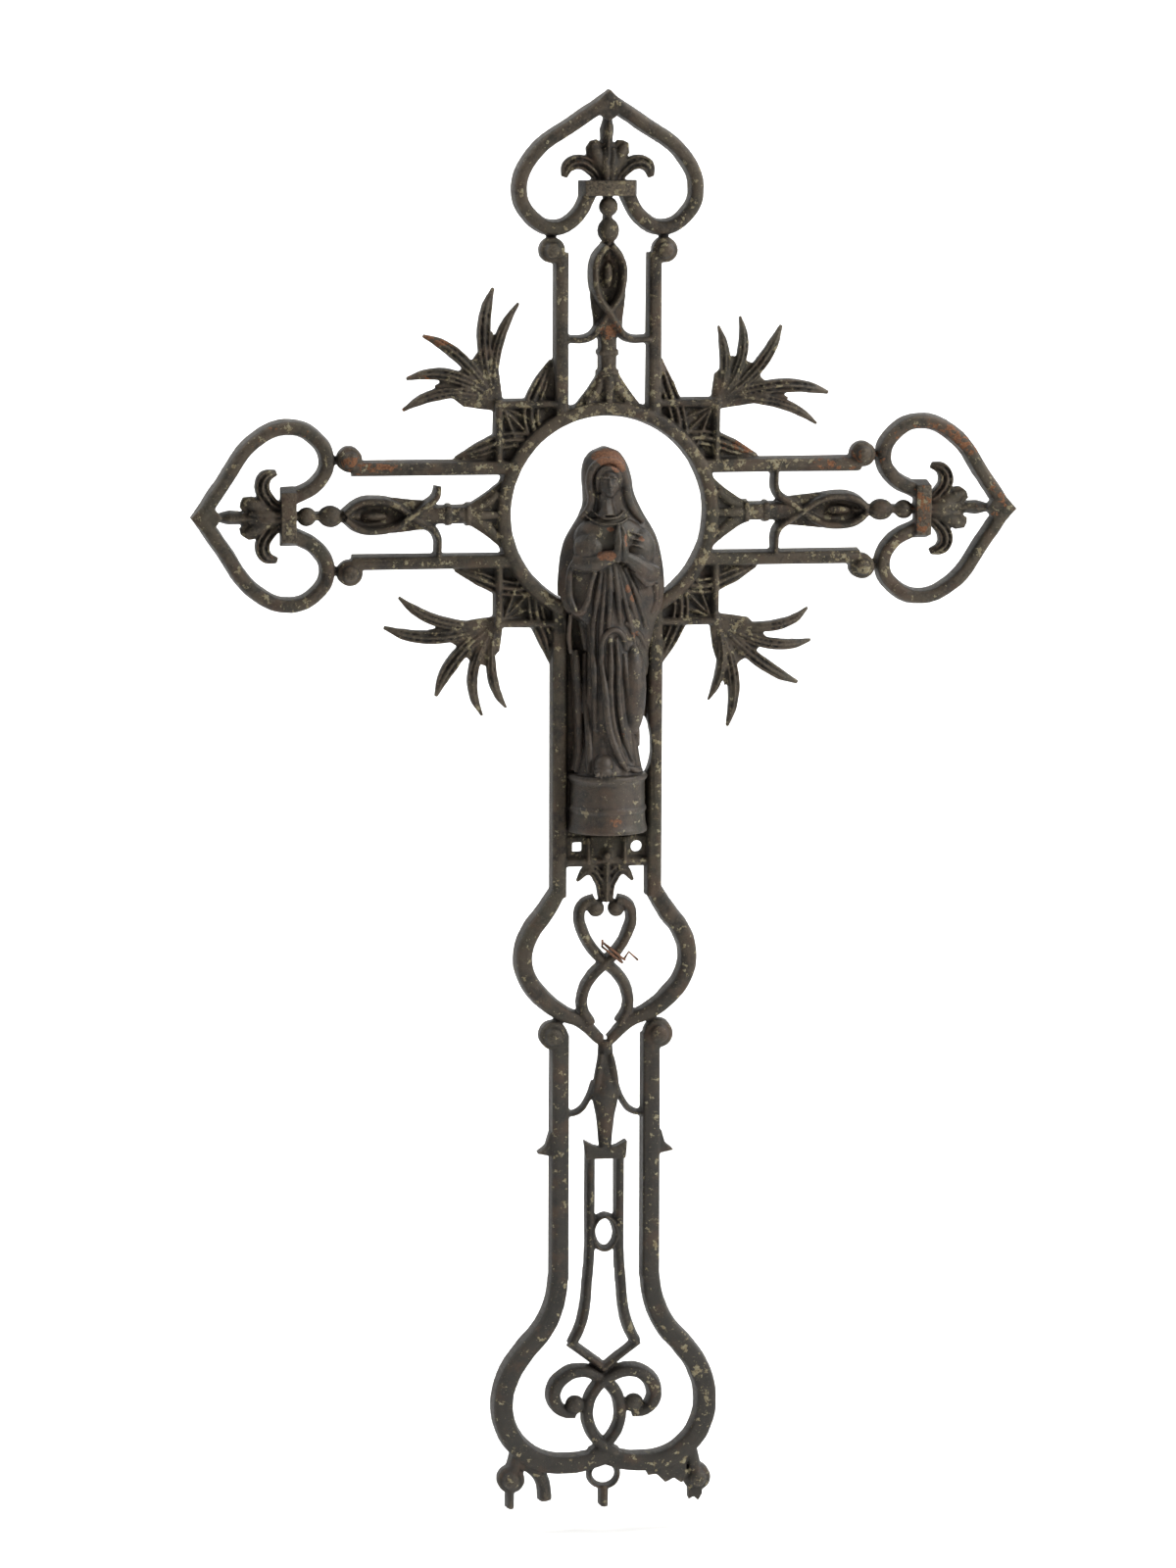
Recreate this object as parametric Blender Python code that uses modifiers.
"""Openwork cast iron grave cross, with a praying figure on a round pedestal before its stem.

The front faces -Y. The shapes are drawn with the flat back of the casting in the plane Y = 0, and
at the end all are set back by half the pin's depth. So the origin is the middle of the flat end of
the centre pin, the lowest point of the cross.
"""

import math

import bmesh
import bpy
from mathutils import Matrix, Vector

MM = 0.001

# Overall sizes, in millimetres
CROSS_HEIGHT = 1250.0
TOP_ARM_REACH = 364.0
SIDE_ARM_REACH = 361.5
BAR_DEPTH = 16.0
SIDE_DRAFT = 2.6
BACK_TRIM = 2.0
BACK_STEP = 0.03
FLAT_ANGLE = 1.5
TRIANGLE_SHARE = 0.63
CUT_SPARE = 60.0
FIT_GAP = 0.4

# The ring and the rails of the arms
RING_RADIUS = 91.0
RING_BAR = 15.0
RING_SEGMENTS = 30
ARM_RAIL_OFFSET = 40.5
ARM_RAIL_BAR = 14.5
ARM_KNOB_RADIUS = 11.3
KNOB_RADIUS = 13.0
KNOB_DEPTH = 21.0

# The pointed heart that ends each arm
HEART_LENGTH = 139.0
HEART_HALF_WIDTH = 84.0
HEART_BAR = 14.5
BLOCK_HALF_WIDTH = 23.0
BLOCK_LENGTH = 14.0
BLOCK_DEPTH = 20.0

# The ornament on the axis of an arm
POD_LENGTH = 72.0
POD_HALF_WIDTH = 17.0
POD_DEPTH = 20.0
LINK_BAR = 7.5
BELL_FOOT_HALF_WIDTH = 29.0
BELL_LENGTH = 29.0
BEAD_RADIUS = 9.5

# The corner frames and their fans of leaves
CORNER_OFFSET = 95.0
CORNER_BAND = 9.5
FAN_LEAF_DEPTH = 11.0
BRACKET_LEAF_REACH = 127.0

# The stem; its levels are drops below the ring's centre
STEM_RAIL_OFFSET = 42.0
STEM_RAIL_BAR = 16.0
WEB_DEPTH = 6.0
WEB_TOP_DROP = 80.0
SHELF_TOP_DROP = 284.0
SHELF_HEIGHT = 26.0
MID_LOBE_TOP_DROP = 334.0
MID_LOBE_HALF_WIDTH = 81.5
MID_LOBE_BAR = 17.5
MID_KNOB_DROP = 459.0
MID_KNOB_OFFSET = 46.5
CROSSING_DROP = 396.0
SCROLL_BAR = 12.0
TULIP_LENGTH = 96.0
LOW_RAIL_OFFSET = 40.5
LOW_RAIL_BAR = 18.6
LYRE_BAR = 10.2

# The wide foot of the stem; its levels are heights above the pin's end
LYRE_TIP_Z = 130.0
BULB_TOP_Z = 212.0
BULB_HALF_WIDTH = 102.0
BULB_BAR = 20.0

# The feet
PIN_WIDTH = 10.0
PIN_DEPTH = 13.0
FOOT_OFFSET = 83.5

# The figure and its pedestal
PEDESTAL_TOP_DROP = 226.0
PEDESTAL_HEIGHT = 51.0
PEDESTAL_RADIUS = 35.0
PEDESTAL_AXIS_Y = -12.0
FIGURE_HEIGHT = 283.5
FIGURE_HALF_WIDTH = 50.0
FIGURE_DEPTH = 27.0
FIGURE_AXIS_Y = -14.0
FIGURE_SWAY = 3.4
FOLD_DEPTH = 3.4

# The wire tie
WIRE_RADIUS = 1.1

RING_Z = CROSS_HEIGHT - TOP_ARM_REACH
WEB_TOP_Z = RING_Z - WEB_TOP_DROP
SHELF_TOP_Z = RING_Z - SHELF_TOP_DROP
SHELF_BOTTOM_Z = SHELF_TOP_Z - SHELF_HEIGHT
MID_LOBE_TOP_Z = RING_Z - MID_LOBE_TOP_DROP
MID_KNOB_Z = RING_Z - MID_KNOB_DROP
CROSSING_Z = RING_Z - CROSSING_DROP
LYRE_TOP_Z = MID_KNOB_Z - TULIP_LENGTH
PEDESTAL_TOP_Z = RING_Z - PEDESTAL_TOP_DROP

# EXACT leaves open edges where these many thin shapes overlap
SOLVER = 'MANIFOLD'
PARTS_NAME = "grave_cross"
CUTTERS_NAME = "cutters"


def clear_scene():
    """Empty the scene and make the two collections."""
    for obj in list(bpy.data.objects):
        bpy.data.objects.remove(obj, do_unlink=True)
    for name in (PARTS_NAME, CUTTERS_NAME):
        bpy.context.scene.collection.children.link(bpy.data.collections.new(name))


def parts():
    return bpy.data.collections[PARTS_NAME]


def link_new(name, mesh):
    """A new object in the parts collection."""
    obj = bpy.data.objects.new(name, mesh)
    parts().objects.link(obj)
    return obj


def mesh_from_curve(curve_obj):
    """Turn a curve object into a welded mesh object that stands in the same place."""
    graph = bpy.context.evaluated_depsgraph_get()
    mesh = bpy.data.meshes.new_from_object(curve_obj.evaluated_get(graph))
    mesh.transform(curve_obj.matrix_world)
    shape = bmesh.new()
    shape.from_mesh(mesh)
    bmesh.ops.remove_doubles(shape, verts=shape.verts, dist=0.00001)
    bmesh.ops.recalc_face_normals(shape, faces=shape.faces)
    shape.to_mesh(mesh)
    shape.free()
    curve = curve_obj.data
    bpy.data.objects.remove(curve_obj)
    bpy.data.curves.remove(curve)
    return link_new("strand", mesh)


def flat_curve(name):
    """A 2D curve object that is turned to stand in the plane of the cross."""
    curve = bpy.data.curves.new(name, 'CURVE')
    curve.dimensions = '2D'
    curve.fill_mode = 'NONE'
    obj = bpy.data.objects.new(name, curve)
    obj.matrix_world = Matrix.Rotation(math.radians(90), 4, 'X')
    parts().objects.link(obj)
    return obj


def add_spline(curve, points, kind='POLY', radii=None, closed=False):
    """Put one spline through (x, z) points in millimetres."""
    spline = curve.splines.new(kind)
    radii = radii or [1.0] * len(points)
    if kind == 'BEZIER':
        spline.bezier_points.add(len(points) - 1)
        for knot, (x, z), radius in zip(spline.bezier_points, points, radii):
            knot.co = (x * MM, z * MM, 0)
            knot.handle_left_type = 'AUTO'
            knot.handle_right_type = 'AUTO'
            knot.radius = radius
    else:
        spline.points.add(len(points) - 1)
        for knot, (x, z), radius in zip(spline.points, points, radii):
            knot.co = (x * MM, z * MM, 0, 1)
            knot.radius = radius
    spline.use_cyclic_u = closed
    return spline


def section_curve(section):
    """A closed section, drawn as (across, forward) points in millimetres."""
    curve = bpy.data.curves.new("section", 'CURVE')
    curve.dimensions = '2D'
    add_spline(curve, section, closed=True)
    return bpy.data.objects.new("section", curve)


def bar_section(width, depth):
    """Flat back, sides that slope in, and a narrower front, as a moulder draws a bar."""
    back = width / 2 + SIDE_DRAFT * BACK_TRIM / depth
    front = width / 2 - SIDE_DRAFT
    return [(-back, -BACK_TRIM), (back, -BACK_TRIM), (front, depth), (-front, depth)]


def leaf_section(width, depth):
    """A leaf with a raised middle and sloping sides."""
    half = width / 2
    return [(-half, -BACK_TRIM), (half, -BACK_TRIM), (half * 0.4, depth), (-half * 0.4, depth)]


def sweep(points, section, kind='BEZIER', radii=None, closed=False, steps=3):
    """Sweep a section along (x, z) points."""
    obj = flat_curve("sweep")
    curve = obj.data
    curve.resolution_u = steps
    add_spline(curve, points, kind, radii, closed)
    profile = section_curve(section)
    curve.bevel_mode = 'OBJECT'
    curve.bevel_object = profile
    curve.use_fill_caps = not closed
    result = mesh_from_curve(obj)
    data = profile.data
    bpy.data.objects.remove(profile)
    bpy.data.curves.remove(data)
    return result


def bar(points, width, depth=BAR_DEPTH, smooth=False, closed=False, steps=2, radii=None):
    """A cast bar along (x, z) points."""
    kind = 'BEZIER' if smooth else 'POLY'
    return sweep(points, bar_section(width, depth), kind, radii, closed, steps)


def leaf(points, width, depth, tip=0.22, root=0.7, steps=1):
    """A pointed leaf from its root to its tip."""
    last = len(points) - 1
    radii = []
    for index in range(last + 1):
        share = index / last
        swell = math.sin(math.pi * min(1.0, 0.28 + 0.72 * share))
        edge = root * (1 - share) + tip * share
        radii.append(edge + (1 - edge) * swell ** 0.8)
    return sweep(points, leaf_section(width, depth), 'BEZIER', radii, steps=steps)


def plate(outline, depth, back=BACK_TRIM, smooth=False):
    """A flat outline of (x, z) points, from behind the back plane to the given depth."""
    obj = flat_curve("plate")
    curve = obj.data
    curve.resolution_u = 2
    curve.fill_mode = 'BOTH'
    curve.extrude = (depth + back) / 2 * MM
    add_spline(curve, outline, 'BEZIER' if smooth else 'POLY', closed=True)
    middle = (depth - back) / 2 * MM
    obj.matrix_world = Matrix.Translation((0, -middle, 0)) @ obj.matrix_world
    return mesh_from_curve(obj)


def turned(profile, sides):
    """A profile of (radius, height) points in millimetres, turned round the Z axis."""
    mesh = bpy.data.meshes.new("turned")
    shape = bmesh.new()
    knots = [shape.verts.new((radius * MM, 0, height * MM)) for radius, height in profile]
    for first, second in zip(knots, knots[1:]):
        shape.edges.new((first, second))
    shape.to_mesh(mesh)
    shape.free()
    obj = link_new("turned", mesh)
    screw = obj.modifiers.new("turn", 'SCREW')
    screw.axis = 'Z'
    screw.angle = math.radians(360)
    screw.steps = sides
    screw.render_steps = sides
    screw.use_merge_vertices = True
    screw.merge_threshold = 0.00001
    graph = bpy.context.evaluated_depsgraph_get()
    solid = bpy.data.meshes.new_from_object(obj.evaluated_get(graph))
    bpy.data.objects.remove(obj)
    bpy.data.meshes.remove(mesh)
    weld = bmesh.new()
    weld.from_mesh(solid)
    bmesh.ops.remove_doubles(weld, verts=weld.verts, dist=0.00001)
    bmesh.ops.recalc_face_normals(weld, faces=weld.faces)
    weld.to_mesh(solid)
    weld.free()
    return link_new("turned", solid)


def move(obj, matrix):
    """Move a shape's own points."""
    obj.data.transform(matrix)
    return obj


def knob(x, z, radius, depth=KNOB_DEPTH):
    """A round stud that stands forward, with a small boss on its face."""
    profile = [(0, depth), (radius * 0.5, depth - 1.8), (radius * 0.68, depth - 5.5),
               (radius, depth - 8.5), (radius, -BACK_TRIM), (0, -BACK_TRIM)]
    obj = turned(profile, 8)
    forward = Matrix.Rotation(math.radians(90), 4, 'X')
    return move(obj, Matrix.Translation((x * MM, 0, z * MM)) @ forward)


def bead(x, z, radius, stretch=1.0, axis_depth=7.0):
    """A round bead that is sunk into the plane of the cross."""
    mesh = bpy.data.meshes.new("bead")
    shape = bmesh.new()
    bmesh.ops.create_uvsphere(shape, u_segments=8, v_segments=5, radius=radius * MM)
    shape.to_mesh(mesh)
    shape.free()
    place = Matrix.Translation((x * MM, -axis_depth * MM, z * MM))
    return move(link_new("bead", mesh), place @ Matrix.Diagonal((1, 1, stretch, 1)))


def heart_lobe(reach, side, rise):
    """One half of the pointed heart, from its tip round to the block."""
    across = (HEART_HALF_WIDTH - HEART_BAR / 2) / 76.5
    down = HEART_LENGTH / 139.0
    shape = [(7, -3), (28, 28), (56, 65), (86, 76.5), (109, 66), (118, 47), (110, 29), (86, 15)]
    points = [(side * a * across, reach - d * down) for d, a in shape]
    return bar(points, HEART_BAR, BAR_DEPTH + rise, smooth=True)


def palmette(root, tip):
    """The leaf that rises from the block into the heart."""
    pieces = [leaf([(0, root - 3), (0, root + 22), (0, tip)], 17, 17)]
    for side in (-1, 1):
        lobe = [(side * 4, root - 2), (side * 9, root + 19), (side * 19, root + 34)]
        curl = [(side * 6, root - 2), (side * 17, root + 11), (side * 29, root + 17), (side * 37, root + 7)]
        pieces.append(leaf(lobe, 12, 15))
        pieces.append(leaf(curl, 12, 14))
    return pieces


def pod_band(top, side, reach, depth):
    """One of the two bands that cross below the pod and run out to a rail."""
    wide = POD_HALF_WIDTH - 4.5
    share = POD_LENGTH / 72.0
    foot = top - 81 * share
    points = [(side * -2, top), (side * -wide * 0.86, top - 12 * share),
              (side * -wide, top - 27 * share), (side * -wide * 0.78, top - 42 * share),
              (side * -1, top - 56 * share), (side * 7, top - 68 * share), (side * 16, foot + 2)]
    ends = ARM_RAIL_OFFSET - 4 if reach == 1 else ARM_RAIL_OFFSET - 15.5
    points.append((side * ends, foot))
    radii = [1.0, 1.05, 1.1, 1.05, 1.0, 0.95, 0.95, 0.85]
    return bar(points, LINK_BAR + 1.5, depth, smooth=True, steps=1, radii=radii)


def bell():
    """The flared foot of an arm's ornament, where it stands on the ring."""
    foot = RING_RADIUS + 2
    narrow = 8.8
    right = []
    for index in range(4):
        share = index / 3
        half = narrow + (BELL_FOOT_HALF_WIDTH - narrow) * share ** 1.2
        right.append((half, foot + BELL_LENGTH * (1 - share)))
    left = [(-x, z) for x, z in reversed(right)]
    return plate(right + left, BAR_DEPTH - 2.5)


def arm_pieces(reach, broken_link):
    """An arm that points up from the ring's centre, at the origin."""
    heart_foot = reach - HEART_LENGTH
    down = HEART_LENGTH / 139.0
    block = reach - 91 * down
    pieces = [heart_lobe(reach, -1, 0.0), heart_lobe(reach, 1, 0.3)]
    point = [(0, reach), (16, reach - 15), (0, reach - 27), (-16, reach - 15)]
    pieces.append(plate(point, BAR_DEPTH - 0.6))
    half = BLOCK_HALF_WIDTH
    pieces.append(plate([(-half, block), (half, block), (half, block + BLOCK_LENGTH),
                         (-half, block + BLOCK_LENGTH)], BLOCK_DEPTH))
    pieces += palmette(block + BLOCK_LENGTH - 1, reach - 17 * down)
    pieces.append(bar([(0, heart_foot - 6), (0, block + 3)], 9, 12))
    pieces.append(bead(0, block - 9, BEAD_RADIUS - 1))
    pieces.append(bead(0, block - 29.5, BEAD_RADIUS, 1.15))
    pod_top = heart_foot + 7
    pod_low = pod_top - POD_LENGTH
    wide = POD_HALF_WIDTH
    right = [(wide - 9, pod_top - 5), (wide - 3.5, pod_top - 14), (wide - 1, pod_top - 30),
             (wide - 2, pod_low + 26), (wide - 4, pod_low + 10), (wide - 5, pod_low - 4)]
    pieces.append(plate([(0, pod_top)] + right + [(-x, z) for x, z in reversed(right)], POD_DEPTH * 0.45))
    pieces.append(bead(0, pod_top - 26, 6.5, 1.9, 5.0))
    pieces.append(pod_band(pod_top - 1, -1, 1, POD_DEPTH - 2.5))
    pieces.append(pod_band(pod_top - 1, 1, 0 if broken_link else 1, POD_DEPTH))
    neck = RING_RADIUS + BELL_LENGTH
    pieces.append(bar([(0, neck - 3), (0, pod_low + 8)], 17, BAR_DEPTH - 1))
    pieces.append(bar([(0, neck + 17), (0, neck + 21)], 20, BAR_DEPTH))
    pieces.append(bar([(0, neck), (0, neck + 3.5)], 21, BAR_DEPTH + 0.5))
    pieces.append(bell())
    for side in (-1, 1):
        rail = [(side * ARM_RAIL_OFFSET, heart_foot), (side * ARM_RAIL_OFFSET, RING_RADIUS * 0.86)]
        pieces.append(bar(rail, ARM_RAIL_BAR, BAR_DEPTH - 0.7))
        pieces.append(knob(side * (ARM_RAIL_OFFSET + 8.5), heart_foot + 2, ARM_KNOB_RADIUS))
    return pieces


def place_arm(angle, reach, broken_link=False):
    """Build an arm and turn it round the ring's centre."""
    turn = Matrix.Translation((0, 0, RING_Z * MM)) @ Matrix.Rotation(math.radians(angle), 4, 'Y')
    return [move(piece, turn) for piece in arm_pieces(reach, broken_link)]


def ring():
    """The ring, open at the bottom, where the stem's rails take over."""
    gap = math.asin((STEM_RAIL_OFFSET - 3.3) / RING_RADIUS)
    points = []
    for index in range(RING_SEGMENTS + 1):
        angle = -math.pi / 2 + gap + (2 * math.pi - 2 * gap) * index / RING_SEGMENTS
        points.append((RING_RADIUS * math.cos(angle), RING_Z + RING_RADIUS * math.sin(angle)))
    return bar(points, RING_BAR, BAR_DEPTH + 1.2)


# For each fan, its leaves from the ring's centre: tip, a point half way along, and width
FANS = {
    (-1, 1): [(-77, 181.5, -96, 143, 9.5), (-99, 195, -107.5, 151, 12), (-160, 154, -127, 134, 11),
              (-174.5, 117, -134, 119, 11.5), (-177.5, 90, -138, 105, 11)],
    (1, 1): [(97.5, 161, 103, 129, 9.5), (116.5, 169, 117, 132, 9.5), (153, 161, 131, 124, 11.5),
             (195, 102, 150, 108.5, 12.5), (185, 75, 146, 95, 10)],
    (-1, -1): [(-181.5, -71.5, -145, -93, 10.5), (-194.5, -97.5, -150, -106.5, 12),
               (-149, -158.5, -131, -124, 12.5), (-108.5, -176, -117, -138, 9.5),
               (-87.5, -169.5, -100.5, -138, 9)],
    (1, -1): [(178.5, -85.5, 146, -101, 9.5), (181.5, -114, 141, -115.5, 10.5),
              (170, -151.5, 133, -130, 11.5), (107.5, -189, 112, -144, 10.5),
              (90.5, -166, 101.5, -132, 8.5)],
}

# How far the upright bracket beside each fan stands out or in, as it was cast
BRACKET_SHIFTS = {(-1, 1): 3.0, (1, 1): -4.0, (-1, -1): -2.5, (1, -1): 0.5}

# The floors of the gaps between a fan's leaves
FAN_GAPS = {
    (-1, 1): [(-100, 157), (-117, 134), (-128, 124), (-150, 111)],
    (1, 1): [(110, 135), (126, 129), (136, 115), (159, 98)],
    (-1, -1): [(-155, -100), (-132, -114), (-120, -127), (-106, -132)],
    (1, -1): [(141, -110), (132, -123), (117, -132), (105, -153)],
}


def fan_leaf(root, tip, through, width, order):
    """One bent leaf of a fan."""
    start = Vector(root)
    end = Vector(tip)
    pull = 2 * Vector(through) - (start + end) / 2
    points = []
    for share in (0.0, 0.2, 0.4, 0.6, 0.8, 1.0):
        spot = start * (1 - share) ** 2 + pull * 2 * share * (1 - share) + end * share ** 2
        points.append((spot.x, spot.y + RING_Z))
    radii = [0.5, 0.74, 0.96, 1.0, 0.8, 0.26]
    return sweep(points, leaf_section(width, FAN_LEAF_DEPTH + 0.35 * order), radii=radii, steps=1)


def fan_web(side_x, side_z):
    """The thin metal that joins the feet of a fan's leaves."""
    far = CORNER_OFFSET
    gaps = FAN_GAPS[(side_x, side_z)]
    if side_z < 0:
        gaps = gaps[::-1]
    rim = [(side_x * (far - 4), side_z * (far + 3)), (side_x * (far - 1), side_z * (far + 24))]
    rim += gaps
    rim += [(side_x * (far + 30), side_z * (far - 2)), (side_x * (far + 3), side_z * (far - 6))]
    return plate([(x, RING_Z + z) for x, z in rim], 6.5)


def corner(side_x, side_z):
    """The square frame between two arms, its ribs, its leaf brackets and its fan."""
    far = CORNER_OFFSET
    pieces = []
    pieces.append(bar([(side_x * ARM_RAIL_OFFSET, RING_Z + side_z * far),
                       (side_x * (far + 4), RING_Z + side_z * far)], CORNER_BAND, 14.6))
    pieces.append(bar([(side_x * far, RING_Z + side_z * ARM_RAIL_OFFSET),
                       (side_x * far, RING_Z + side_z * (far + 4))], CORNER_BAND, 13.9))
    near = ARM_RAIL_OFFSET
    seat = RING_RADIUS * 0.703
    shift = BRACKET_SHIFTS[(side_x, side_z)]
    reach = BRACKET_LEAF_REACH + 5
    web = [(near, RING_RADIUS - 8), (near, reach - 5), (near + 7, reach - 6),
           (near + 15.5 + shift, reach - 21), (near + 20 + shift, far + 4), (far, far),
           (far + 4, near + 20), (reach - 21, near + 15.5), (reach - 6, near + 7), (reach - 5, near),
           (RING_RADIUS - 8, near), (seat, seat)]
    pieces.append(plate([(side_x * x, RING_Z + side_z * z) for x, z in web], 6.0))
    for index in range(3):
        lean = (index - 1) * 11
        inner = seat + 1
        start = far - 2.3 - 0.9 * index
        pieces.append(bar([(side_x * start, RING_Z + side_z * start),
                           (side_x * (inner + lean), RING_Z + side_z * (inner - lean))],
                          6.5, 10.0 + 0.5 * index))
    path = [(seat, seat + 4), (seat, seat + 25), (near + 15.5, reach - 21), (near + 7, reach)]
    upright = [(side_x * (a + shift * share), RING_Z + side_z * b)
               for (a, b), share in zip(path, (0.0, 1.0, 1.0, 0.2))]
    pieces.append(leaf(upright, 15.5, 13.2, tip=0.3))
    pieces.append(leaf([(side_x * b, RING_Z + side_z * a) for a, b in path], 15.5, 12.7, tip=0.3))
    pieces.append(fan_web(side_x, side_z))
    root = (side_x * (far + 2), side_z * (far + 1))
    for order, (tip_x, tip_z, half_x, half_z, width) in enumerate(FANS[(side_x, side_z)]):
        pieces.append(fan_leaf(root, (tip_x, tip_z), (half_x, half_z), width, order))
    return pieces


def web_and_shelf():
    """The plate behind the figure and the pierced shelf below the pedestal."""
    half = STEM_RAIL_OFFSET - 3
    web_foot = SHELF_TOP_Z - 3
    web = [(-half, web_foot), (half, web_foot), (half, WEB_TOP_Z), (-half, WEB_TOP_Z)]
    shelf = [(-half, SHELF_BOTTOM_Z), (half, SHELF_BOTTOM_Z), (half, SHELF_TOP_Z), (-half, SHELF_TOP_Z)]
    pieces = [plate(web, WEB_DEPTH), plate(shelf, WEB_DEPTH + 1.3)]
    pieces.append(bar([(-half, SHELF_BOTTOM_Z + 5), (half, SHELF_BOTTOM_Z + 5)], 10, 11))
    for side in (-1, 1):
        pieces.append(bar([(side * 16, SHELF_BOTTOM_Z + 2), (side * 16, SHELF_TOP_Z)], 8, 12.2))
        curl = [(side * 0.7, SHELF_BOTTOM_Z - 29), (side * 5.3, SHELF_BOTTOM_Z - 10.6),
                (side * 14.2, SHELF_BOTTOM_Z - 3.3), (side * 25, SHELF_BOTTOM_Z - 13.7)]
        pieces.append(leaf(curl, 12, 12 + 0.4 * side, root=0.6, tip=0.25))
    pieces.append(bar([(0, SHELF_BOTTOM_Z + 3), (0, SHELF_BOTTOM_Z - 31)], 9, 13.5))
    pieces.append(knob(0, SHELF_BOTTOM_Z + 10, 6.5, 16))
    return pieces


def middle_scrolls():
    """The wide lobes of the stem, the small heart in them and the knobs below."""
    pieces = []
    across = (MID_LOBE_HALF_WIDTH - MID_LOBE_BAR / 2) / 72.5
    top = MID_LOBE_TOP_Z
    cross_z = CROSSING_Z
    for side in (-1, 1):
        lobe = [(STEM_RAIL_OFFSET, top + 3), (55, top - 18), (66, top - 33), (72.5, top - 53),
                (69, top - 74), (57, top - 91), (40, top - 105), (22, top - 114), (4, top - 131)]
        points = [(side * x * across, z) for x, z in lobe]
        pieces.append(bar(points, MID_LOBE_BAR, BAR_DEPTH - 0.4 * side, smooth=True,
                          radii=[0.9, 1, 1, 1, 1, 1, 0.9, 0.72, 0.6]))
        heart = [(9, cross_z + 56), (19, cross_z + 52), (23, cross_z + 42), (20, cross_z + 28),
                 (11, cross_z + 12), (0, cross_z), (-13, cross_z - 13), (-19.5, cross_z - 27),
                 (-20, cross_z - 40), (-13, cross_z - 54)]
        pieces.append(bar([(side * x, z) for x, z in heart], SCROLL_BAR - 1, 13.0 + side, smooth=True))
        pieces.append(bead(side * 9, cross_z + 49, 7.6))
        pieces.append(knob(side * MID_KNOB_OFFSET, MID_KNOB_Z, KNOB_RADIUS))
        pieces.append(bar([(side * LOW_RAIL_OFFSET, MID_KNOB_Z), (side * LOW_RAIL_OFFSET, BULB_TOP_Z - 4)],
                          LOW_RAIL_BAR, BAR_DEPTH - 0.7))
        edge = LOW_RAIL_OFFSET + LOW_RAIL_BAR / 2
        spur_z = LYRE_TOP_Z - 9
        spur = [(LOW_RAIL_OFFSET, spur_z + 18), (edge, spur_z + 18), (edge + 3.5, spur_z + 6),
                (edge + 11, spur_z), (edge - 2, spur_z - 3), (LOW_RAIL_OFFSET, spur_z - 3)]
        pieces.append(plate([(side * x, z) for x, z in spur], 12.0))
        pieces.append(bar([(side * STEM_RAIL_OFFSET, RING_Z - RING_RADIUS * 0.842),
                           (side * STEM_RAIL_OFFSET, top - 2)], STEM_RAIL_BAR, BAR_DEPTH - 0.9))
    return pieces


def tulip():
    """The closed flower that hangs between the rails, with two curled leaves."""
    top = MID_KNOB_Z - 5
    profile = [(0, top), (6, top - 2), (7.5, top - 18), (10, top - 34), (12.8, top - 47), (10.5, top - 58),
               (8.5, top - 68), (6.5, top - 84), (5.2, LYRE_TOP_Z - 10), (0, LYRE_TOP_Z - 11)]
    body = move(turned(profile, 12), Matrix.Translation((0, -6 * MM, 0)))
    pieces = [body]
    for side in (-1, 1):
        curl = [(side * 9, top - 38), (side * 15, top - 54), (side * 24, top - 65), (side * 36, top - 67)]
        pieces.append(bar(curl, 6.5, 12 + 0.3 * side, smooth=True))
    return pieces


def lyre():
    """The long panel with an oval link, which widens to a point over the scrolls."""
    pieces = []
    low = LYRE_TIP_Z
    rise = LYRE_TOP_Z - low
    shape = [(13, 0.98), (13, 0.67), (13.2, 0.49), (15, 0.37), (17.5, 0.24), (22, 0.155), (29, 0.085)]
    for side in (-1, 1):
        strip = [(side * x, low + rise * share) for x, share in shape]
        radii = [1, 1, 1, 1.02, 1.06, 1.08, 1.0]
        pieces.append(bar(strip, LYRE_BAR, 12 + 0.3 * side, smooth=True, radii=radii))
        pieces.append(bar([(side * 31, low + rise * 0.095), (side * -2, low - 6)], 9, 11.2 + 0.3 * side))
    half = 13 + LYRE_BAR / 2
    cap = [(-half - 1, LYRE_TOP_Z + 1), (-9, LYRE_TOP_Z - 4.5), (0, LYRE_TOP_Z - 6), (9, LYRE_TOP_Z - 4.5),
           (half + 1, LYRE_TOP_Z + 1), (half - 0.5, LYRE_TOP_Z - 15), (0.5 - half, LYRE_TOP_Z - 15)]
    pieces.append(plate(cap, 12.9))
    count = 16
    middle = low + rise * 0.587
    link = []
    for index in range(count):
        angle = 2 * math.pi * index / count
        link.append((10.5 * math.cos(angle), middle + 15 * math.sin(angle)))
    pieces.append(bar(link, 6.5, 13.4, closed=True))
    return pieces


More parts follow.
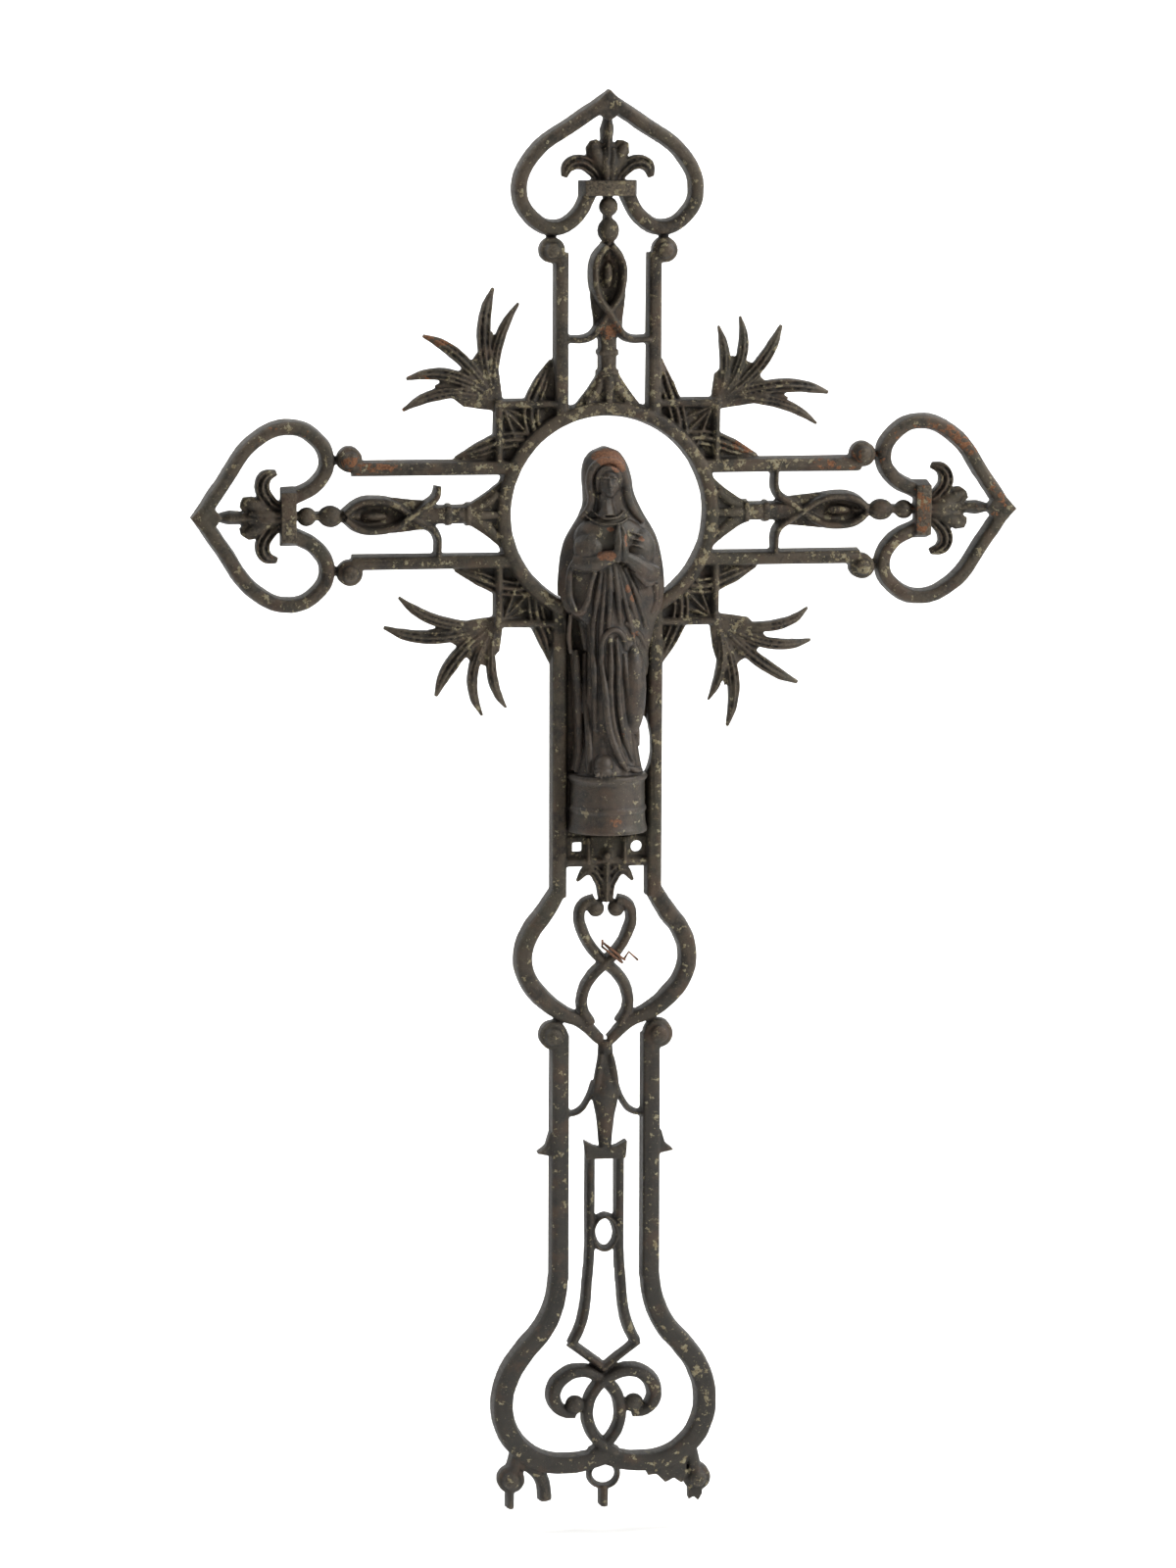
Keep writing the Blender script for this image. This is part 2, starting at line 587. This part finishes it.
def bulb():
    """The wide foot of the stem and the double scroll inside it."""
    pieces = []
    across = (BULB_HALF_WIDTH - BULB_BAR / 2 - 1) / 90.5
    for side in (-1, 1):
        outer = [(LOW_RAIL_OFFSET, BULB_TOP_Z), (44.5, 185), (55, 162), (71, 143), (84, 123), (90.5, 98),
                 (86, 71), (73, 53), (55, 42), (34, 39), (15, 41), (-3, 46)]
        radii = [0.92, 0.96, 1, 1.02, 1.04, 1.04, 1.03, 1, 0.96, 0.92, 0.88, 0.8]
        points = [(side * (x * across if x > LOW_RAIL_OFFSET else x), z) for x, z in outer]
        pieces.append(bar(points, BULB_BAR, BAR_DEPTH - 0.3 * side, smooth=True, radii=radii))
        scroll = [(25, 83.5), (36, 86), (44, 95), (44.5, 107), (36.5, 118), (23, 123), (7, 118.5),
                  (-7.5, 107), (-14.5, 90), (-13, 73), (-3, 57), (11, 47)]
        swell = [0.8, 0.95, 1.15, 1.25, 1.2, 1.12, 1, 1, 1, 1, 1, 0.95]
        points = [(side * x, z) for x, z in scroll]
        pieces.append(bar(points, SCROLL_BAR, 13.6 + side, smooth=True, radii=swell))
        pieces.append(bead(side * 26.5, 93, 8.6))
    return pieces


def feet():
    """The three feet: a ring with a pin, a scroll with a pin and a hook, and a broken stub."""
    pieces = []
    count = 16
    eye = [(12.8 * math.cos(2 * math.pi * i / count), 28 + 11.3 * math.sin(2 * math.pi * i / count))
           for i in range(count)]
    pieces.append(bar(eye, 6.0, 12.4, closed=True))
    pieces.append(bar([(0, 19), (0, 0)], PIN_WIDTH, PIN_DEPTH))
    left = -FOOT_OFFSET
    pieces.append(knob(left, 27, KNOB_RADIUS - 0.4, 18))
    pieces.append(bar([(left + 6, 52), (left, 28)], 13, 14.2))
    pieces.append(bar([(left - 0.5, 26), (left - 0.5, 1)], 9, 12.8))
    hook = [(left + 5, 43), (left + 18, 37), (left + 28, 25), (left + 31, 7)]
    pieces.append(bar(hook, 13.5, 13.3, smooth=True))
    right = FOOT_OFFSET
    pieces.append(knob(right, 23, KNOB_RADIUS - 0.4, 18))
    pieces.append(bar([(right - 6, 52), (right, 24)], 13, 14.5))
    pieces.append(plate([(right - 8, 24), (right + 5, 24), (right + 4.5, 8), (right + 1, 2), (right - 3, 6),
                         (right - 8, 3.5)], 12.1))
    stub = [(right - 45, 40), (right - 10, 46), (right - 10, 26), (right - 14, 19), (right - 21, 24),
            (right - 29, 20), (right - 37, 28), (right - 45, 27)]
    pieces.append(plate(stub, 13.0))
    return pieces


def box_cutter(name, low, high):
    """A box between two corners in millimetres, kept in the cutters collection."""
    mesh = bpy.data.meshes.new(name)
    shape = bmesh.new()
    bmesh.ops.create_cube(shape, size=1.0)
    centre = [(a + b) / 2 * MM for a, b in zip(low, high)]
    size = [(b - a) * MM for a, b in zip(low, high)]
    place = Matrix.Translation(centre) @ Matrix.Diagonal((*size, 1))
    bmesh.ops.transform(shape, matrix=place, verts=shape.verts)
    shape.to_mesh(mesh)
    shape.free()
    return as_cutter(bpy.data.objects.new(name, mesh))


def round_cutter(name, x, z, half_x, half_z, sides=16):
    """An oval cutter that runs right through, front to back."""
    mesh = bpy.data.meshes.new(name)
    shape = bmesh.new()
    bmesh.ops.create_cone(shape, cap_ends=True, segments=sides, radius1=1, radius2=1, depth=60 * MM)
    stretch = Matrix.Diagonal((half_x * MM, half_z * MM, 1, 1))
    stand = Matrix.Rotation(math.radians(90), 4, 'X')
    bmesh.ops.transform(shape, matrix=Matrix.Translation((x * MM, 0, z * MM)) @ stand @ stretch,
                        verts=shape.verts)
    shape.to_mesh(mesh)
    shape.free()
    return as_cutter(bpy.data.objects.new(name, mesh))


def as_cutter(obj):
    for holder in list(obj.users_collection):
        holder.objects.unlink(obj)
    bpy.data.collections[CUTTERS_NAME].objects.link(obj)
    obj.hide_render = True
    obj.display_type = 'WIRE'
    return obj


def cut(obj, cutters):
    """Cut an object by each cutter, and merge the flat faces that this leaves."""
    for cutter in cutters:
        step = obj.modifiers.new("cut_" + cutter.name, 'BOOLEAN')
        step.operation = 'DIFFERENCE'
        step.solver = SOLVER
        step.object = cutter
    graph = bpy.context.evaluated_depsgraph_get()
    mesh = bpy.data.meshes.new_from_object(obj.evaluated_get(graph))
    old = obj.data
    obj.modifiers.clear()
    obj.data = mesh
    bpy.data.meshes.remove(old)
    mesh.name = obj.name
    shape = bmesh.new()
    shape.from_mesh(mesh)
    flat = math.radians(FLAT_ANGLE)
    bmesh.ops.dissolve_limit(shape, angle_limit=flat, verts=shape.verts, edges=shape.edges)
    bmesh.ops.triangulate(shape, faces=shape.faces)
    shape.to_mesh(mesh)
    shape.free()


def fuse(name, pieces):
    """Join overlapping shapes into one solid."""
    if len(pieces) == 1:
        return pieces[0]
    base = pieces[0]
    group = bpy.data.collections.new(name + "_pieces")
    bpy.context.scene.collection.children.link(group)
    for piece in pieces[1:]:
        parts().objects.unlink(piece)
        group.objects.link(piece)
    union = base.modifiers.new("fuse", 'BOOLEAN')
    union.operation = 'UNION'
    union.solver = SOLVER
    union.operand_type = 'COLLECTION'
    union.collection = group
    graph = bpy.context.evaluated_depsgraph_get()
    mesh = bpy.data.meshes.new_from_object(base.evaluated_get(graph))
    for piece in pieces:
        old = piece.data
        bpy.data.objects.remove(piece)
        bpy.data.meshes.remove(old)
    bpy.data.collections.remove(group)
    mesh.name = name
    return link_new(name, mesh)


def lighten(obj):
    """Merge the short edges that joining leaves, down to a share of the triangles."""
    thin = obj.modifiers.new("lighten", 'DECIMATE')
    thin.ratio = TRIANGLE_SHARE


def back_block(front):
    """Everything behind a plane, to cut a flat back."""
    reach = max(TOP_ARM_REACH, SIDE_ARM_REACH) + CUT_SPARE
    return box_cutter("behind", (-reach, front, -CUT_SPARE), (reach, CUT_SPARE, CROSS_HEIGHT + CUT_SPARE))


def stagger_backs(pieces):
    """Set the spare metal behind each shape at its own depth, so that no two backs share a plane."""
    for index, piece in enumerate(pieces):
        for vertex in piece.data.vertices:
            if vertex.co.y > 0.0005:
                vertex.co.y += BACK_STEP * index * MM


def build_cross():
    """The openwork casting."""
    groups = [[ring()], place_arm(0, TOP_ARM_REACH), place_arm(90, SIDE_ARM_REACH),
              place_arm(-90, SIDE_ARM_REACH, broken_link=True)]
    for side_x in (-1, 1):
        for side_z in (-1, 1):
            groups.append(corner(side_x, side_z))
    groups += [web_and_shelf(), middle_scrolls(), tulip(), lyre(), bulb(), feet()]
    stagger_backs([piece for group in groups for piece in group])
    cross = fuse("cross", [fuse("group", group) for group in groups])
    slot_x = STEM_RAIL_OFFSET - STEM_RAIL_BAR / 2 - 3
    cutters = [back_block(0),
               round_cutter("side_slot", slot_x, SHELF_TOP_Z + 81, 8.0, 26),
               round_cutter("round_hole", STEM_RAIL_OFFSET - 15, SHELF_TOP_Z - 9, 5, 5, 14),
               box_cutter("square_hole", (12 - STEM_RAIL_OFFSET, -30, SHELF_TOP_Z - 13),
                          (21 - STEM_RAIL_OFFSET, 30, SHELF_TOP_Z - 4.5))]
    cut(cross, cutters)
    lighten(cross)
    return cross


# The figure from the top of her veil down, as shares of her height and of her width:
# height, left side, right side, front
BODY = [
    (0.995, 0.06, 0.05, 0.15), (0.980, 0.27, 0.25, 0.42), (0.955, 0.42, 0.37, 0.62),
    (0.900, 0.43, 0.44, 0.66), (0.857, 0.42, 0.47, 0.62), (0.820, 0.46, 0.58, 0.60),
    (0.787, 0.56, 0.72, 0.66), (0.724, 0.74, 0.87, 0.80), (0.626, 0.86, 0.97, 0.88),
    (0.570, 0.88, 1.00, 0.88), (0.525, 0.84, 0.97, 0.86), (0.493, 0.66, 0.92, 0.86),
    (0.470, 0.48, 0.86, 0.86), (0.370, 0.42, 0.72, 0.86), (0.322, 0.48, 0.76, 0.88),
    (0.262, 0.54, 0.70, 0.90), (0.192, 0.55, 0.56, 0.92), (0.105, 0.57, 0.52, 0.96),
    (0.050, 0.60, 0.57, 1.00), (-0.012, 0.64, 0.62, 1.06),
]


def fold(share, angle):
    """How far the robe's folds stand out, as a share of the fold depth."""
    low = max(0.0, min(1.0, (0.62 - share) / 0.3))
    spread = 9.0 * angle + 1.6 * math.sin(5.0 * share)
    quiet = 1.0 / (1.0 + math.exp(9.0 * (angle - 0.62)))
    ridge = 1.0 - 2.0 * abs(((spread / (2 * math.pi)) % 1.0) - 0.5) * 1.6
    return low * quiet * max(-0.6, ridge)


def loft(rings):
    """A closed solid through rings of points that all have the same count."""
    mesh = bpy.data.meshes.new("loft")
    shape = bmesh.new()
    knots = [[shape.verts.new(Vector(p) * MM) for p in ring] for ring in rings]
    count = len(rings[0])
    for upper, lower in zip(knots, knots[1:]):
        for index in range(count):
            after = (index + 1) % count
            shape.faces.new((upper[index], upper[after], lower[after], lower[index]))
    shape.faces.new(knots[0][::-1])
    shape.faces.new(knots[-1])
    bmesh.ops.recalc_face_normals(shape, faces=shape.faces)
    shape.to_mesh(mesh)
    shape.free()
    return link_new("loft", mesh)


def robe():
    """The veil, the mantle and the folded robe in one."""
    count = 36
    wide = FIGURE_HALF_WIDTH
    rings = []
    for share, left, right, front in BODY:
        height = PEDESTAL_TOP_Z + share * FIGURE_HEIGHT
        points = []
        for index in range(count):
            angle = 2 * math.pi * (index / count) - math.pi
            swell = 1 + FOLD_DEPTH / FIGURE_DEPTH * fold(share, angle)
            side = math.sin(angle)
            reach = (right if side > 0 else left) * wide
            deep = front * FIGURE_DEPTH if math.cos(angle) > 0 else 11.0
            x = math.copysign(abs(side) ** 0.9, side) * reach * swell
            y = FIGURE_AXIS_Y - math.cos(angle) * deep * swell
            points.append((x, y, height))
        rings.append(points)
    return loft(rings)


def egg(centre, radii, lean=0.0, segments=12, rings=8):
    """An oval body, leaning forward by an angle in degrees."""
    mesh = bpy.data.meshes.new("egg")
    shape = bmesh.new()
    bmesh.ops.create_uvsphere(shape, u_segments=segments, v_segments=rings, radius=1)
    shape.to_mesh(mesh)
    shape.free()
    size = Matrix.Diagonal((*(r * MM for r in radii), 1))
    turn = Matrix.Rotation(math.radians(lean), 4, 'X')
    return move(link_new("egg", mesh), Matrix.Translation(Vector(centre) * MM) @ turn @ size)


def limb(points, radii, closed=False, smooth=True, sides=1):
    """A round strand through (x, y, z) points with its own radius at each."""
    curve = bpy.data.curves.new("limb", 'CURVE')
    curve.dimensions = '3D'
    curve.bevel_depth = MM
    curve.bevel_resolution = sides
    curve.resolution_u = 2
    curve.use_fill_caps = not closed
    spline = curve.splines.new('BEZIER' if smooth else 'POLY')
    if smooth:
        spline.bezier_points.add(len(points) - 1)
        for knot, point, radius in zip(spline.bezier_points, points, radii):
            knot.co = Vector(point) * MM
            knot.handle_left_type = 'AUTO'
            knot.handle_right_type = 'AUTO'
            knot.radius = radius
    else:
        spline.points.add(len(points) - 1)
        for knot, point, radius in zip(spline.points, points, radii):
            knot.co = (*(Vector(point) * MM), 1)
            knot.radius = radius
    spline.use_cyclic_u = closed
    obj = bpy.data.objects.new("limb", curve)
    parts().objects.link(obj)
    return mesh_from_curve(obj)


def oval(centre, half_x, half_z, lean, count=12):
    """Points of an upright oval; its top leans forward by the given share."""
    points = []
    for index in range(count):
        angle = 2 * math.pi * index / count
        rise = half_z * math.sin(angle)
        points.append((centre[0] + half_x * math.cos(angle), centre[1] - lean * rise, centre[2] + rise))
    return points


def head_and_hands():
    """The face in its veil, the joined hands, the sleeves, the sash and the foot."""
    top = PEDESTAL_TOP_Z + FIGURE_HEIGHT
    chin = top - 53
    pieces = [egg((-0.5, -27.5, chin + 18), (14, 11, 19.5), lean=4)]
    nose = [(-0.5, -36.5, chin + 23), (-0.5, -40.0, chin + 14.5), (-0.5, -36.5, chin + 12.5)]
    pieces.append(limb(nose, [1.2, 2.2, 1.6]))
    pieces.append(limb(oval((-0.5, -30, chin + 17), 15.5, 21.5, 0.12), [4.2] * 12, closed=True))
    for side, elbow in ((-1, (-27, -28, top - 101)), (1, (37, -27, top - 108))):
        wrist = (8 + side * 3, -41, top - 92)
        middle = [(a + b) / 2 for a, b in zip(elbow, wrist)]
        middle[1] -= 2
        middle[2] -= 3
        pieces.append(limb([elbow, middle, wrist], [9.5, 8.8, 5.6], sides=2))
        palm = [(8 + side * 2.2, -41, top - 95), (8 + side * 2.4, -43, top - 84),
                (7.7 + side * 1.4, -42, top - 64)]
        pieces.append(limb(palm, [4.4, 4.3, 1.6]))
    loop_z = PEDESTAL_TOP_Z + 112
    pieces.append(limb(oval((3, -40, loop_z), 7.2, 14, 0.0, 10), [1.9] * 10, closed=True))
    upper = [(4, -36, loop_z + 70), (3, -38, loop_z + 36), (3, -39.5, loop_z + 13)]
    pieces.append(limb(upper, [2.6, 2.6, 2.2]))
    lower = [(2, -39, loop_z - 13), (-2, -38, loop_z - 50), (-6, -40, loop_z - 84)]
    pieces.append(limb(lower, [2.4, 2.8, 2.6]))
    pieces.append(egg((-11, -40, PEDESTAL_TOP_Z + 4.5), (6.5, 8.0, 6.5), segments=10, rings=6))
    hang = [(-38, -27, top - 96), (-41, -24, top - 124), (-36, -24, top - 143), (-26, -28, top - 146),
            (-21, -32, top - 128)]
    pieces.append(limb(hang, [5.5, 5.5, 5.0, 4.5, 3.0]))
    return pieces


def pedestal():
    """The round pedestal with its mouldings."""
    r = PEDESTAL_RADIUS
    h = PEDESTAL_HEIGHT
    profile = [(0, h), (r - 1.2, h), (r, h - 1.8), (r, h - 4.5), (r - 2.4, h - 7), (r - 2.4, 24),
               (r - 0.9, 22), (r - 0.9, 19), (r - 2.2, 17), (r - 1.8, 5), (r, 3), (r, 0), (0, 0)]
    place = Matrix.Translation((0, PEDESTAL_AXIS_Y * MM, (PEDESTAL_TOP_Z - h) * MM))
    return move(turned(profile, 32), place)


def rail_space(side):
    """The room that a rail and the ring take up beside the figure."""
    inner = STEM_RAIL_OFFSET - STEM_RAIL_BAR / 2 + SIDE_DRAFT * WEB_DEPTH / BAR_DEPTH - FIT_GAP
    open_radius = RING_RADIUS * math.cos(math.pi / RING_SEGMENTS) - RING_BAR / 2 - FIT_GAP
    points = [(side * inner, SHELF_BOTTOM_Z)]
    start = math.asin(inner / open_radius)
    for index in range(7):
        angle = start + (math.pi / 2 - start) * index / 6
        points.append((side * open_radius * math.sin(angle), RING_Z - open_radius * math.cos(angle)))
    points += [(side * 2 * RING_RADIUS, RING_Z), (side * 2 * RING_RADIUS, SHELF_BOTTOM_Z)]
    return as_cutter(plate(points, BAR_DEPTH + 1.2 + FIT_GAP, back=CUT_SPARE))


def lean(obj):
    """Lean a part of the figure to the left as seen, most at the head."""
    for vertex in obj.data.vertices:
        share = max(0.0, vertex.co.z / MM - PEDESTAL_TOP_Z) / FIGURE_HEIGHT
        vertex.co.x -= FIGURE_SWAY * MM * share ** 4
    return obj


def build_figure():
    """The praying woman, who leans a little to the left as seen, and her pedestal."""
    body = [lean(piece) for piece in [robe()] + head_and_hands()]
    figure = fuse("figure", body + [pedestal()])
    reach = 2 * RING_RADIUS
    wall = box_cutter("plate_space", (-reach, -WEB_DEPTH - FIT_GAP, 0), (reach, CUT_SPARE, CROSS_HEIGHT))
    cutters = [wall, rail_space(-1), rail_space(1)]
    cut(figure, cutters)
    return figure


def build_wire():
    """The wire, two turns round one strand of the small heart, with a bent tail."""
    centre = Vector((6.5, 0.0, CROSSING_Z + 9.0))
    across = Vector((0.74, 0.0, -0.67))
    along = Vector((0.67, 0.0, 0.74))
    half = 11.0
    deep = 8.9
    middle = -7.1
    count = 12
    points = [tuple(centre - across * 15 + Vector((0, middle - deep - 1.0, 3)))]
    for index in range(int(count * 1.5) + 1):
        turn = 2 * math.pi * index / count - math.pi
        side = math.copysign(abs(math.cos(turn)) ** 0.5, math.cos(turn))
        front = math.copysign(abs(math.sin(turn)) ** 0.5, math.sin(turn))
        slide = (index / count - 0.7) * 3.4
        flat = centre + across * half * side + along * slide
        points.append(tuple(flat + Vector((0, middle + deep * front, 0))))
    end = Vector(points[-1])
    points.append(tuple(end + Vector((3.5, -3.0, 6.5))))
    points.append(tuple(end + Vector((12.0, -1.0, -1.5))))
    return limb(points, [WIRE_RADIUS] * len(points), smooth=False)


def material(name, colour, roughness, metallic):
    """A plain Principled material."""
    mat = bpy.data.materials.new(name)
    mat.use_nodes = True
    shader = mat.node_tree.nodes["Principled BSDF"]
    shader.inputs["Base Color"].default_value = (*colour, 1)
    shader.inputs["Roughness"].default_value = roughness
    shader.inputs["Metallic"].default_value = metallic
    return mat


def finish(obj, mat):
    """Set an object about the middle of the pin's depth, with its material and smooth surfaces."""
    obj.data.transform(Matrix.Translation((0, PIN_DEPTH / 2 * MM, 0)))
    obj.data.materials.clear()
    obj.data.materials.append(mat)
    obj.data.shade_smooth()
    obj.data.set_sharp_from_angle(angle=math.radians(35))


clear_scene()
cross = build_cross()
finish(cross, material("old_cast_iron", (0.075, 0.066, 0.056), 0.78, 0.35))
figure = build_figure()
finish(figure, material("figure_cast_iron", (0.082, 0.068, 0.056), 0.72, 0.35))
wire = build_wire()
wire.name = "wire_tie"
finish(wire, material("rusty_wire", (0.19, 0.085, 0.045), 0.85, 0.3))
